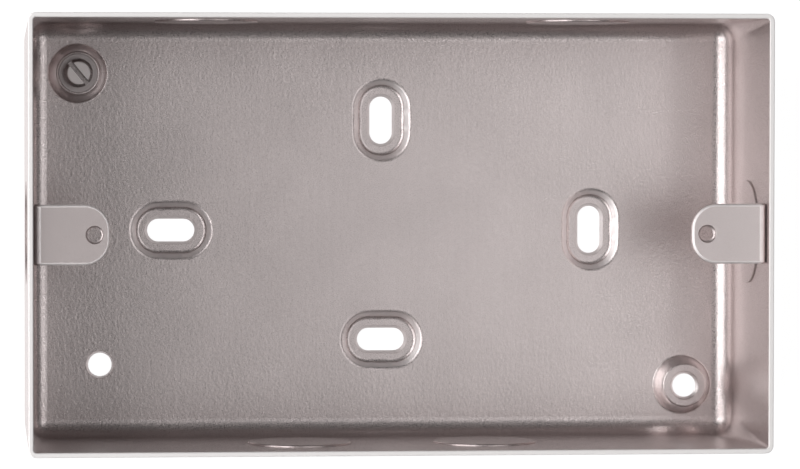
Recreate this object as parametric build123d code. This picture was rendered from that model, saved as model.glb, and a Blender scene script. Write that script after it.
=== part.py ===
from build123d import *
from math import atan, tan
import os

# Two-gang surface back box in pressed steel, lying on its back with its open front up.
# Millimetres. +X runs along the length, +Y across it, and +Z out of the open front.
# The origin is under the middle of the box, level with the lowest faces of the slot seats.

# Pressed body
body_length = 146.5
body_width = 86.5
body_depth = 40.0  # from the back of the floor to the rim
sheet = 1.0
body_bend = 3.7  # inside radius of the bend round the floor
rim_corner = 0.6  # inside radius of the upright corners at the rim
corner_start = 1.0  # bend to where the upright corners begin to tighten towards the rim
corner_bands = 4  # of even height, in which the tightening is drawn
rim_break = 0.2  # broken edges at the rim

# Fixing slots and the seats pressed out of the back round them
slot_length = 9.7
slot_width = 4.65
slot_span_x = 86.4  # between the slots at the two ends
slot_span_y = 45.0  # between the slots at the two long sides
seat_depth = 1.3
seat_flat = 1.7  # level ring round a slot
seat_slope = 2.1  # width of the curved slope up to the floor
slot_lip = 0.6

# Round bosses pressed in from the back
boss_height = 3.4
boss_margin = 0.15  # flat of a boss past the edge of the washer
boss_slope = 2.0  # width of the curved slope down to the floor
boss_gap_x = 0.1  # foot of a boss to the bend along the end wall
boss_gap_y = 0.4  # foot of a boss to the bend along the side wall
boss_hole_radius = 2.4
boss_lip = 0.6
slope_handle = 0.45  # how far each end of a slope runs on level, as a share of its width

# Plain hole in the floor
plain_hole_radius = 2.4
plain_hole_inset_x = 14.45  # centre to the inner face of the end wall
plain_hole_inset_y = 14.85  # centre to the inner face of the side wall
plain_hole_lip = 0.5

# Knock-out discs, sheared part way through the walls towards the inside
knockout_radius = 10.3
knockout_drop = 20.0  # rim to the centre
knockout_step = 0.4
knockout_edge = 0.15
far_knockout_x = 37.3  # either side of the middle, in the wall at +Y
near_knockout_x = 18.65  # either side of the middle, in the wall at -Y

# Lugs for the cover plate's screws
lug_span = 120.6  # between the two tapped holes
lug_sheet = 1.2
lug_width = 11.8
lug_drop = 2.0  # rim to the top of a lug
lug_nose = 3.0  # hole centre to the tip
lug_nose_radius = 4.9
lug_bend = 0.3
lug_leg_clearance = 1.2  # between the welded leg and the knock-out under it
lug_leg_corner = 1.5
lug_edge = 0.3
tapped_radius = 1.6
tapped_chamfer = 0.2
collar_wall = 0.7
collar_depth = 1.0  # drawn below the lug

# Earth terminal: screw and washer on the boss at -X, +Y
earth_thread_radius = 1.75
thread_clearance = 0.05
screw_tip_z = 0.8  # clear of the wall that the box stands on
screw_point = 0.4
head_radius = 2.9
head_height = 2.4
head_edge = 0.7  # width of the sloped edge round the top of the head
head_edge_drop = 0.45
driver_slot_width = 1.0
driver_slot_depth = 1.1
driver_slot_turn = -50.0  # degrees from +X
washer_radius = 4.0
washer_thickness = 0.5
washer_clearance = 0.15
washer_edge = 0.12

# Levels and faces that follow from those sizes
back_z = seat_depth
floor_z = back_z + sheet
rim_z = back_z + body_depth
inner_x = body_length / 2 - sheet
inner_y = body_width / 2 - sheet
boss_flat_radius = washer_radius + boss_margin
boss_foot_radius = boss_flat_radius + boss_slope
boss_x = inner_x - body_bend - boss_gap_x - boss_foot_radius
boss_y = inner_y - body_bend - boss_gap_y - boss_foot_radius
boss_top_z = floor_z + boss_height
knockout_z = rim_z - knockout_drop
lug_top_z = rim_z - lug_drop
upward = (Align.CENTER, Align.CENTER, Align.MIN)


def pressed_section(hole_radius, flat, slope, rise, lip):
    """Section of the sheet from a hole's wall out to the level floor, with the flat moved up by rise.

    The face towards the open front is an S-shaped curve. The back is straight, and as steep as its middle.
    """
    flat_radius = hole_radius + flat
    foot_radius = flat_radius + slope
    handle = slope_handle * slope
    steep_run = slope - handle
    steep_middle = (flat_radius + foot_radius) / 2 - sheet * tan(atan(rise / steep_run) / 2)
    with BuildSketch(Plane.XZ) as section:
        with BuildLine():
            Polyline(
                (flat_radius, floor_z + rise),
                (hole_radius + lip, floor_z + rise),
                (hole_radius, floor_z + rise - lip),
                (hole_radius, back_z + rise),
                (steep_middle - steep_run / 2, back_z + rise),
                (steep_middle + steep_run / 2, back_z),
                (foot_radius, back_z),
                (foot_radius, floor_z),
            )
            Bezier(
                (foot_radius, floor_z),
                (foot_radius - handle, floor_z),
                (flat_radius + handle, floor_z + rise),
                (flat_radius, floor_z + rise),
            )
        make_face()
    return section.sketch


def boss(hole_radius, lip):
    """Round boss about the Z axis, with a hole through its flat."""
    flat = boss_flat_radius - hole_radius
    return revolve(pressed_section(hole_radius, flat, boss_slope, boss_height, lip), Axis.Z)


def slot_seat():
    """Pressed seat about the Z axis with a slot along Y: two round ends and two straight sides."""
    run = slot_length - slot_width
    section = pressed_section(slot_width / 2, seat_flat, seat_slope, -seat_depth, slot_lip)
    end = Pos(0, run / 2, 0) * revolve(section, Axis.Z, 180)
    side = Pos(0, run / 2, 0) * extrude(section, run)
    half = end + side
    return half + Rot(0, 0, 180) * half


def floor_window(length, width):
    """Tool that clears the floor for a pressing, rounded at both ends and long in Y."""
    outline = SlotOverall(length, width, rotation=90) if length > width else Circle(width / 2)
    return Pos(0, 0, back_z) * extrude(outline, sheet)


def add_pressing(body, place, pressing, length, width):
    """Swap the level floor at place for a pressing."""
    return body - place * floor_window(length, width) + place * pressing


def knockout_planes():
    """Planes on the walls' inner faces, at the knock-outs' centres, with their normals pointing inwards."""
    for side in (-1, 1):
        yield Plane((side * far_knockout_x, inner_y, knockout_z), x_dir=(1, 0, 0), z_dir=(0, -1, 0))
        yield Plane((side * near_knockout_x, -inner_y, knockout_z), x_dir=(1, 0, 0), z_dir=(0, 1, 0))
        yield Plane((side * inner_x, 0, knockout_z), x_dir=(0, 1, 0), z_dir=(-side, 0, 0))


def knockout_disc():
    """Raised face of a knock-out, with its edge broken by the punch."""
    disc = Cylinder(knockout_radius, knockout_step + sheet / 2, align=upward)
    disc = chamfer(disc.edges().sort_by(Axis.Z)[-1], knockout_edge)
    return Pos(0, 0, -sheet / 2) * disc


def pan(inset, rim_growth):
    """Solid pan, inset from the outside of the box, whose upright corners tighten towards the rim."""
    length = body_length - 2 * inset
    width = body_width - 2 * inset
    bend = body_bend + sheet - inset
    start_height = bend + corner_start
    rim_radius = rim_corner + sheet - inset
    bottom = Pos(0, 0, back_z + inset) * Box(length, width, start_height, align=upward)
    bottom = fillet(bottom.edges().filter_by(Axis.Z), bend)
    bottom = fillet(bottom.faces().sort_by(Axis.Z)[0].edges(), bend)
    start_z = back_z + inset + start_height
    tightening_height = rim_z - rim_break - start_z
    outlines = []
    for band in range(corner_bands + 1):
        share = band / corner_bands
        outline = RectangleRounded(length, width, bend + (rim_radius - bend) * share)
        outlines.append(Pos(0, 0, start_z + share * tightening_height) * outline)
    grown_size = (length + 2 * rim_growth, width + 2 * rim_growth)
    outlines.append(Pos(0, 0, rim_z) * RectangleRounded(*grown_size, rim_radius + rim_growth))
    return bottom + loft(outlines, ruled=True)


def back_box():
    """The pressed body: floor, walls, seats, bosses and knock-outs in one sheet."""
    body = pan(0, -rim_break) - pan(sheet, rim_break)

    # Plain hole, with a lip where the punch went in
    plain_hole = Pos(plain_hole_inset_x - inner_x, plain_hole_inset_y - inner_y, back_z)
    body -= plain_hole * Cylinder(plain_hole_radius, sheet, align=upward)
    body -= plain_hole * Pos(0, 0, sheet - plain_hole_lip) * Cone(
        plain_hole_radius, plain_hole_radius + plain_hole_lip, plain_hole_lip, align=upward
    )

    # Slot seats: the slots at +X and +Y run along Y, and the other two along X
    seat = slot_seat()
    seat_ring = seat_flat + seat_slope
    seat_size = (slot_length + 2 * seat_ring, slot_width + 2 * seat_ring)
    for x, y, turn in ((1, 0, 0), (0, 1, 0), (-1, 0, 90), (0, -1, 90)):
        place = Pos(x * slot_span_x / 2, y * slot_span_y / 2, 0) * Rot(0, 0, turn)
        body = add_pressing(body, place, seat, *seat_size)

    # Bosses in opposite corners: one tapped for the earth screw, one with an open hole
    boss_size = (2 * boss_foot_radius, 2 * boss_foot_radius)
    body = add_pressing(body, Pos(-boss_x, boss_y, 0), boss(earth_thread_radius, tapped_chamfer), *boss_size)
    body = add_pressing(body, Pos(boss_x, -boss_y, 0), boss(boss_hole_radius, boss_lip), *boss_size)

    for plane in knockout_planes():
        body -= plane.offset(-sheet) * Cylinder(knockout_radius, knockout_step, align=upward)
        body += plane * knockout_disc()
    return body


def lug():
    """Lug at +X: a tab with a rounded nose and a tapped collar, bent from a leg welded to the wall."""
    tip_x = lug_span / 2 - lug_nose
    leg_z = knockout_z + knockout_radius + lug_leg_clearance
    with BuildSketch(Plane.XZ) as section:
        with BuildLine():
            outer = FilletPolyline(
                (inner_x, leg_z),
                (inner_x, lug_top_z),
                (tip_x, lug_top_z),
                radius=lug_bend + lug_sheet,
            )
            inner = FilletPolyline(
                (inner_x - lug_sheet, leg_z),
                (inner_x - lug_sheet, lug_top_z - lug_sheet),
                (tip_x, lug_top_z - lug_sheet),
                radius=lug_bend,
            )
            Line(outer @ 0, inner @ 0)
            Line(outer @ 1, inner @ 1)
        make_face()
    body = extrude(section.sketch, lug_width / 2, both=True)
    body = fillet(body.edges().filter_by(Axis.Z).group_by(Axis.X)[0], lug_nose_radius)
    body = fillet(body.edges().filter_by(Axis.X).group_by(Axis.Z)[0], lug_leg_corner)
    top = body.faces().filter_by(Axis.Z).sort_by(Axis.Z)[-1]
    body = chamfer(top.edges().sort_by(Axis.X)[:-1], lug_edge)

    # Collar drawn down round the tapped hole
    hole = Pos(lug_span / 2, 0, lug_top_z)
    downward = (Align.CENTER, Align.CENTER, Align.MAX)
    body += hole * Cylinder(tapped_radius + collar_wall, lug_sheet + collar_depth, align=downward)
    body -= hole * Cylinder(tapped_radius, lug_sheet + collar_depth, align=downward)
    body -= hole * Pos(0, 0, -tapped_chamfer) * Cone(
        tapped_radius, tapped_radius + tapped_chamfer, tapped_chamfer, align=upward
    )
    return body


def earth_washer():
    """Flat washer that lies on the earth boss."""
    ring = Cylinder(washer_radius, washer_thickness, align=upward)
    ring -= Cylinder(earth_thread_radius + washer_clearance, washer_thickness, align=upward)
    ring = chamfer(ring.edges().group_by(Axis.Z)[-1], washer_edge)
    return Pos(-boss_x, boss_y, boss_top_z) * ring


def earth_screw():
    """Slotted cheese-head screw that stands on the washer and reaches down through the boss."""
    seat_z = boss_top_z + washer_thickness
    screw_length = seat_z - screw_tip_z
    shank_radius = earth_thread_radius - thread_clearance
    head = Cylinder(head_radius, head_height - head_edge_drop, align=upward)
    head += Pos(0, 0, head_height - head_edge_drop) * Cone(
        head_radius, head_radius - head_edge, head_edge_drop, align=upward
    )
    cut = Pos(0, 0, head_height - driver_slot_depth) * Box(
        2 * head_radius, driver_slot_width, driver_slot_depth, align=upward
    )
    shank = Pos(0, 0, -screw_length) * Cylinder(shank_radius, screw_length, align=upward)
    shank = chamfer(shank.edges().sort_by(Axis.Z)[0], screw_point)
    screw = head - Rot(0, 0, driver_slot_turn) * cut + shank
    return Pos(-boss_x, boss_y, seat_z) * screw


pieces = {
    "back_box": back_box(),
    "lug_right": lug(),
    "lug_left": Rot(0, 0, 180) * lug(),
    "earth_washer": earth_washer(),
    "earth_screw": earth_screw(),
}

os.makedirs("parts", exist_ok=True)
for name, piece in pieces.items():
    export_step(piece, f"parts/{name}.step")
    size = piece.bounding_box().size
    print(f"{name}: {size.X:.2f} x {size.Y:.2f} x {size.Z:.2f} mm, {piece.volume:.1f} mm3")
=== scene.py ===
import bmesh
import bpy
from math import pi, radians
from mathutils import Matrix, Vector


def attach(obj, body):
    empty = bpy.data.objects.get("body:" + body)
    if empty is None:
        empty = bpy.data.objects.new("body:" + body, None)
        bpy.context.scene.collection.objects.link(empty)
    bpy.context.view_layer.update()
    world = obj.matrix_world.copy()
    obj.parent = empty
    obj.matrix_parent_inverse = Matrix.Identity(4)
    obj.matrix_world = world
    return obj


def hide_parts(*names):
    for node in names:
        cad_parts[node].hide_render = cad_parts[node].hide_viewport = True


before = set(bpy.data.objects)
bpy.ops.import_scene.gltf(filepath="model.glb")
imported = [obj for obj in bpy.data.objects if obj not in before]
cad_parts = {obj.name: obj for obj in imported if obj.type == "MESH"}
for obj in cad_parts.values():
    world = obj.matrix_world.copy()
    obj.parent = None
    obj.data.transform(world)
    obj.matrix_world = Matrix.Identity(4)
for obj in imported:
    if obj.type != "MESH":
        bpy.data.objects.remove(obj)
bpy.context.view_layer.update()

# The box is pressed from one sheet of 1 mm steel: floor, walls, slot seats and bosses together. The zinc
# plating is a satin grey with a fine grain, worn smooth in the middle, and faint streaks across the box.
# The rim, where the sheet was sheared, and the slopes of the slot seats and bosses are rougher. Their
# brighter grey, and the lighter grey of the slot lips, is painted highlight.
plate_grey = (0.66, 0.59, 0.583)
painted_rim_highlight_grey = (1.0, 0.985, 0.98)
painted_slope_highlight_grey = (0.9, 0.85, 0.845)
painted_lip_highlight_grey = (0.72, 0.67, 0.665)
edge_roughness, seat_roughness, lip_roughness, boss_roughness = 0.9, 0.48, 0.5, 0.36
back_z, floor_z, seat_z, rim_z = 0.0013, 0.0023, 0.001, 0.0413
floor_half_length, floor_half_width, floor_margin = 0.0685, 0.0385, 0.0005
boss_x, boss_y, boss_foot, boss_z = 0.0623, 0.032, 0.0062, 0.0057
worn_half_length, grained_half_length = 0.015, 0.066
worn_half_width, grained_half_width = 0.01, 0.042
grain_start = -0.35


def zinc_plated(name, grey, gloss, dull, grain_height, streak_height):
    """Plated steel: a grain of glossy and dull specks, long streaks across the box, cloudy tone."""
    cloud_shade = 0.94
    noise_low, noise_high = 0.35, 0.65
    metal = bpy.data.materials.new(name)
    metal.use_nodes = True
    nodes, links = metal.node_tree.nodes, metal.node_tree.links
    shader = nodes["Principled BSDF"]
    shader.inputs["Metallic"].default_value = 1.0
    place = nodes.new("ShaderNodeTexCoord")

    def noise(scale, stretch, detail):
        spread = nodes.new("ShaderNodeMapping")
        spread.inputs["Scale"].default_value = stretch
        cells = nodes.new("ShaderNodeTexNoise")
        cells.inputs["Scale"].default_value = scale
        cells.inputs["Detail"].default_value = detail
        links.new(place.outputs["Object"], spread.inputs["Vector"])
        links.new(spread.outputs["Vector"], cells.inputs["Vector"])
        return cells.outputs["Fac"]

    def between(value, low, high):
        spread = nodes.new("ShaderNodeMapRange")
        spread.inputs["From Min"].default_value = noise_low
        spread.inputs["From Max"].default_value = noise_high
        spread.inputs["To Min"].default_value = low
        spread.inputs["To Max"].default_value = high
        links.new(value, spread.inputs["Value"])
        return spread.outputs["Result"]

    def relief(value, height, under=None):
        bump = nodes.new("ShaderNodeBump")
        bump.inputs["Strength"].default_value = 1.0
        bump.inputs["Distance"].default_value = height
        links.new(value, bump.inputs["Height"])
        if under:
            links.new(under, bump.inputs["Normal"])
        return bump.outputs["Normal"]

    clouds = noise(scale=60, stretch=(1, 1, 1), detail=3)
    streaks = noise(scale=900, stretch=(1, 0.04, 1), detail=2)
    grain = noise(scale=2000, stretch=(1, 0.7, 1), detail=2)
    specks = noise(scale=7000, stretch=(1, 1, 1), detail=1)
    tint = nodes.new("ShaderNodeMix")
    tint.data_type = "RGBA"
    tint.inputs["A"].default_value = (*[cloud_shade * part for part in grey], 1)
    tint.inputs["B"].default_value = (*grey, 1)
    links.new(between(clouds, 0, 1), tint.inputs["Factor"])
    links.new(tint.outputs["Result"], shader.inputs["Base Color"])
    links.new(between(specks, gloss, dull), shader.inputs["Roughness"])
    links.new(relief(grain, grain_height, relief(streaks, streak_height)), shader.inputs["Normal"])
    return metal


def fade(metal, value, none, full):
    """Share from 0 to 1 as a value goes from none to full."""
    share = metal.node_tree.nodes.new("ShaderNodeMapRange")
    share.inputs["From Min"].default_value = none
    share.inputs["From Max"].default_value = full
    metal.node_tree.links.new(value, share.inputs["Value"])
    return share.outputs["Result"]


def both(metal, first, *others):
    """Product of shares, so that it is full only where all of them are."""
    for other in others:
        product = metal.node_tree.nodes.new("ShaderNodeMath")
        product.operation = "MULTIPLY"
        metal.node_tree.links.new(first, product.inputs[0])
        metal.node_tree.links.new(other, product.inputs[1])
        first = product.outputs["Value"]
    return first


def painted_highlight_and_roughness(metal, grey, roughness, share):
    """Another grey and roughness where the share is full; the grey is a painted highlight."""
    nodes, links = metal.node_tree.nodes, metal.node_tree.links
    shader = nodes["Principled BSDF"]
    for kind, socket, value in (("RGBA", "Base Color", (*grey, 1)), ("FLOAT", "Roughness", roughness)):
        change = nodes.new("ShaderNodeMix")
        change.data_type = kind
        change.inputs["B"].default_value = value
        links.new(shader.inputs[socket].links[0].from_socket, change.inputs["A"])
        links.new(share, change.inputs["Factor"])
        links.new(change.outputs["Result"], shader.inputs[socket])


shell_zinc = zinc_plated("shell zinc", plate_grey, gloss=0.2, dull=0.55,
                         grain_height=0.000042, streak_height=0.000008)
shell_nodes, shell_links = shell_zinc.node_tree.nodes, shell_zinc.node_tree.links
shell_place = shell_nodes.new("ShaderNodeTexCoord")
mirrored = shell_nodes.new("ShaderNodeVectorMath")
mirrored.operation = "ABSOLUTE"
quarter = shell_nodes.new("ShaderNodeSeparateXYZ")
flattened = shell_nodes.new("ShaderNodeVectorMath")
flattened.operation = "MULTIPLY"
flattened.inputs[1].default_value = (1, 1, 0)
from_boss = shell_nodes.new("ShaderNodeVectorMath")
from_boss.operation = "DISTANCE"
from_boss.inputs[1].default_value = (boss_x, boss_y, 0)
shell_links.new(shell_place.outputs["Object"], mirrored.inputs[0])
shell_links.new(mirrored.outputs["Vector"], quarter.inputs["Vector"])
shell_links.new(mirrored.outputs["Vector"], flattened.inputs[0])
shell_links.new(flattened.outputs["Vector"], from_boss.inputs[0])
along, across, height = quarter.outputs["X"], quarter.outputs["Y"], quarter.outputs["Z"]

# The grain is strongest near the walls and fades towards the middle of the floor.
wear = shell_nodes.new("ShaderNodeMath")
wear.operation = "MAXIMUM"
wear.use_clamp = True
shell_links.new(fade(shell_zinc, along, worn_half_length, grained_half_length), wear.inputs[0])
shell_links.new(fade(shell_zinc, across, worn_half_width, grained_half_width), wear.inputs[1])
kept_grain = fade(shell_zinc, wear.outputs["Value"], grain_start, 1)
grain_relief = shell_nodes["Principled BSDF"].inputs["Normal"].links[0].from_node
shell_links.new(kept_grain, grain_relief.inputs["Strength"])

# Each slope or lip that gets a painted highlight is picked out by its height and by its place on the
# floor or beside a boss.
seat_foot_fade = (back_z, back_z + 0.0001)
seat_top_fade = (floor_z - 0.00005, floor_z - 0.0002)
lip_foot_fade = (seat_z - 0.0007, seat_z - 0.0005)
lip_top_fade = (seat_z - 0.00001, seat_z - 0.0001)
boss_edge_fade = (boss_foot, boss_foot - 0.0001)
boss_foot_fade = (floor_z + 0.0001, floor_z + 0.0004)
boss_top_fade = (boss_z - 0.0001, boss_z - 0.0003)
rim_fade = (rim_z - 0.0003, rim_z - 0.0001)
on_floor = both(shell_zinc, fade(shell_zinc, along, floor_half_length, floor_half_length - floor_margin),
                fade(shell_zinc, across, floor_half_width, floor_half_width - floor_margin))
seat_slopes = both(shell_zinc, on_floor, fade(shell_zinc, height, *seat_foot_fade),
                   fade(shell_zinc, height, *seat_top_fade))
slot_lips = both(shell_zinc, on_floor, fade(shell_zinc, height, *lip_foot_fade),
                 fade(shell_zinc, height, *lip_top_fade))
boss_slopes = both(shell_zinc, fade(shell_zinc, from_boss.outputs["Value"], *boss_edge_fade),
                   fade(shell_zinc, height, *boss_foot_fade), fade(shell_zinc, height, *boss_top_fade))
# Painted highlight: a brighter grey on the seat slopes.
painted_highlight_and_roughness(shell_zinc, painted_slope_highlight_grey, seat_roughness, seat_slopes)
# Painted highlight: a lighter grey on the slot lips.
painted_highlight_and_roughness(shell_zinc, painted_lip_highlight_grey, lip_roughness, slot_lips)
# Painted highlight: the same brighter grey on the boss slopes.
painted_highlight_and_roughness(shell_zinc, painted_slope_highlight_grey, boss_roughness, boss_slopes)
# Painted highlight: a near-white grey on the sheared rim, which is also rougher.
painted_highlight_and_roughness(shell_zinc, painted_rim_highlight_grey, edge_roughness, fade(shell_zinc, height, *rim_fade))
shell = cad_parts["back_box"]
shell.data.materials.clear()
shell.data.materials.append(shell_zinc)

# The two lugs take the cover plate's screws. Each is a strip of thicker steel, bent to a leg that is
# spot welded to the end wall, with a collar drawn down round its hole and tapped with a machine thread.
# The punch has left the outline rounded, and a painted highlight in a near-white grey lies on it.
painted_lug_edge_highlight_grey = (1.0, 0.95, 0.945)
lug_hole_x = 0.0603
lug_hole_surround = 0.0022
lug_top, lug_top_play, lug_edge_depth = 0.0393, 0.00001, 0.0003
lug_round = 0.0002
lug_merge, lug_flat, lug_sharp = 0.000001, radians(1), radians(30)
lug_small_face = 0.000001
lug_edge_least, lug_edge_most = 0.3, 0.999
lug_thread_foot, lug_thread_top = 0.0372, 0.0391
lug_thread_root, lug_thread_crest = 0.00175, 0.00142
lug_pitch = 0.0006


def thread_ridge(name, centre, root, crest, pitch, foot, top, metal):
    """Helical ridge of a screw thread, from foot to top, with its root sunk in the steel."""
    steps = 32
    root_low, root_high, crest_low, crest_high = 0.05, 0.95, 0.44, 0.56
    turns = (top - foot - pitch) / pitch
    ridge = bmesh.new()
    corners = [(root, root_low), (root, root_high), (crest, crest_high), (crest, crest_low)]
    start = [ridge.verts.new((centre[0] + out, centre[1], foot + up * pitch)) for out, up in corners]
    face = ridge.faces.new(start)
    bmesh.ops.spin(ridge, geom=[face, *face.edges, *face.verts], cent=(*centre, 0), axis=(0, 0, 1),
                   dvec=(0, 0, pitch / steps), angle=2 * pi * turns, steps=round(steps * turns))
    bmesh.ops.recalc_face_normals(ridge, faces=ridge.faces)
    mesh = bpy.data.meshes.new(name)
    ridge.to_mesh(mesh)
    ridge.free()
    mesh.materials.append(metal)
    piece = bpy.data.objects.new(name, mesh)
    bpy.context.collection.objects.link(piece)
    return piece


lug_zinc = zinc_plated("lug zinc", plate_grey, gloss=0.3, dull=0.62,
                       grain_height=0.00001, streak_height=0.000002)
lug_edge_highlight_zinc = zinc_plated("lug edge painted highlight zinc", painted_lug_edge_highlight_grey, gloss=0.5, dull=0.8,
                            grain_height=0.000004, streak_height=0.000002)
for side, sign in (("lug_left", -1), ("lug_right", 1)):
    hole = Vector((sign * lug_hole_x, 0))
    blank = bmesh.new()
    blank.from_mesh(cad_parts[side].data)
    bmesh.ops.remove_doubles(blank, verts=blank.verts, dist=lug_merge)
    bmesh.ops.dissolve_limit(blank, angle_limit=lug_flat, verts=blank.verts, edges=blank.edges)
    outline = [edge for edge in blank.edges
               if edge.calc_face_angle(0) > lug_sharp
               and all(vert.co.z > lug_top - lug_top_play for vert in edge.verts)
               and (edge.verts[0].co.xy - hole).length > lug_hole_surround]
    bmesh.ops.bevel(blank, geom=outline, offset=lug_round, segments=3, profile=0.5, affect="EDGES",
                    material=-1)
    for face in blank.faces:
        face.smooth = face.calc_area() < lug_small_face
        middle = face.calc_center_median()
        on_edge = middle.z > lug_top - lug_edge_depth and lug_edge_least < face.normal.z < lug_edge_most
        # Faces on the rounded outline take the near-white painted highlight material.
        if on_edge and (middle.xy - hole).length > lug_hole_surround:
            face.material_index = 1
    lug_mesh = bpy.data.meshes.new(side + "_rounded")
    blank.to_mesh(lug_mesh)
    blank.free()
    lug_mesh.materials.append(lug_zinc)
    lug_mesh.materials.append(lug_edge_highlight_zinc)
    lug = bpy.data.objects.new(side + "_rounded", lug_mesh)
    bpy.context.collection.objects.link(lug)
    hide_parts(side)
    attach(lug, "root")
    thread = thread_ridge(side + "_thread", (sign * lug_hole_x, 0), lug_thread_root, lug_thread_crest,
                          lug_pitch, lug_thread_foot, lug_thread_top, lug_zinc)
    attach(thread, "root")

# The earth terminal is a slotted cheese-head screw, turned from bright steel and plated, on a flat
# punched washer. The top of its head carries a near-white painted highlight. The screw's thread shows
# below the boss, at the back of the box.
screw_grey = (0.45, 0.4, 0.395)
painted_head_highlight_grey, head_roughness = (1.0, 0.96, 0.95), 0.7
washer_grey = (0.52, 0.47, 0.465)
earth_x, earth_y = -0.0623, 0.032
earth_thread_foot, earth_thread_top = 0.0012, 0.0046
earth_thread_root, earth_thread_crest = 0.00168, 0.00195
earth_pitch = 0.0007
head_top = 0.0086
head_highlight_fade = (head_top - 0.00015, head_top - 0.00002)
screw_zinc = zinc_plated("screw zinc", screw_grey, gloss=0.2, dull=0.4,
                         grain_height=0.000002, streak_height=0.000001)
screw_place = screw_zinc.node_tree.nodes.new("ShaderNodeTexCoord")
screw_parts = screw_zinc.node_tree.nodes.new("ShaderNodeSeparateXYZ")
screw_zinc.node_tree.links.new(screw_place.outputs["Object"], screw_parts.inputs["Vector"])
# Painted highlight: the top of the head is near-white over the darker screw grey.
painted_highlight_and_roughness(screw_zinc, painted_head_highlight_grey, head_roughness, fade(screw_zinc, screw_parts.outputs["Z"], *head_highlight_fade))
washer_zinc = zinc_plated("washer zinc", washer_grey, gloss=0.3, dull=0.6,
                          grain_height=0.000004, streak_height=0.000002)
for part, plating in (("earth_screw", screw_zinc), ("earth_washer", washer_zinc)):
    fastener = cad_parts[part]
    fastener.data.materials.clear()
    fastener.data.materials.append(plating)
earth_thread = thread_ridge("earth_screw_thread", (earth_x, earth_y), earth_thread_root,
                            earth_thread_crest, earth_pitch, earth_thread_foot, earth_thread_top,
                            screw_zinc)
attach(earth_thread, "root")

# The box lies on a plain white table, which glows a little so that it stays white through the holes. The
# table stands just clear of the slot seats, so that the two faces don't flicker where they would meet.
table_size, table_drop = 6.0, 0.00005
table_grey, table_glow = 0.15, 0.95
surface = bmesh.new()
bmesh.ops.create_grid(surface, x_segments=1, y_segments=1, size=table_size / 2)
bmesh.ops.translate(surface, verts=surface.verts, vec=(0, 0, -table_drop))
table_mesh = bpy.data.meshes.new("table")
surface.to_mesh(table_mesh)
surface.free()
table = bpy.data.objects.new("table", table_mesh)
bpy.context.collection.objects.link(table)
white = bpy.data.materials.new("table white")
white.use_nodes = True
paint = white.node_tree.nodes["Principled BSDF"]
paint.inputs["Base Color"].default_value = (table_grey, table_grey, table_grey, 1)
paint.inputs["Roughness"].default_value = 0.8
paint.inputs["Specular IOR Level"].default_value = 0.1
paint.inputs["Emission Color"].default_value = (1, 1, 1, 1)
paint.inputs["Emission Strength"].default_value = table_glow
table_mesh.materials.append(white)


# A large soft box stands left of the table, with weaker ones high on both sides and above. None
# stands before or behind it, so the long walls stay dark. A weak soft light fills the rest.
def soft_box(name, place, width, depth, brightness):
    """Rectangular soft light that faces the box and is brightness times as bright as white."""
    light = bpy.data.lights.new(name, "AREA")
    light.shape = "RECTANGLE"
    light.size = width
    light.size_y = depth
    light.energy = brightness * pi * width * depth
    lamp = bpy.data.objects.new(name, light)
    lamp.location = place
    lamp.rotation_euler = (-Vector(place)).to_track_quat("-Z", "Y").to_euler()
    lamp.visible_camera = False
    bpy.context.collection.objects.link(lamp)


soft_box("left soft box", place=(-1.23, 0, 0.86), width=2.2, depth=1.7, brightness=2.35)
soft_box("high left soft box", place=(-0.72, 0, 1.27), width=1.8, depth=0.5, brightness=0.7)
soft_box("high right soft box", place=(0.72, 0, 1.27), width=1.8, depth=0.6, brightness=1.1)
soft_box("top soft box", place=(0.345, 0, 1.46), width=1.0, depth=0.54, brightness=0.85)
room_grey = 0.08
surroundings = bpy.data.worlds.new("studio")
surroundings.use_nodes = True
backdrop = surroundings.node_tree.nodes["Background"]
backdrop.inputs["Color"].default_value = (room_grey, room_grey, room_grey, 1)
bpy.context.scene.world = surroundings
bpy.context.scene.view_settings.view_transform = "Standard"

# The camera looks almost straight down into the open front, from beyond the left end of the box. Its
# picture is shifted sideways, so that the box stands in the middle and its rim stays nearly square.
camera_place = (-0.0900, 0.0192, 0.7935)
lean_sideways, lean_forwards = radians(-4.4), radians(-1.45)
lens = bpy.data.cameras.new("camera")
lens.sensor_width = 36
lens.lens = 174.6
lens.shift_x = 0.2
camera = bpy.data.objects.new("camera", lens)
turn = Matrix.Rotation(lean_sideways, 4, "Y") @ Matrix.Rotation(lean_forwards, 4, "X")
camera.matrix_world = Matrix.Translation(camera_place) @ turn
bpy.context.collection.objects.link(camera)
bpy.context.scene.camera = camera
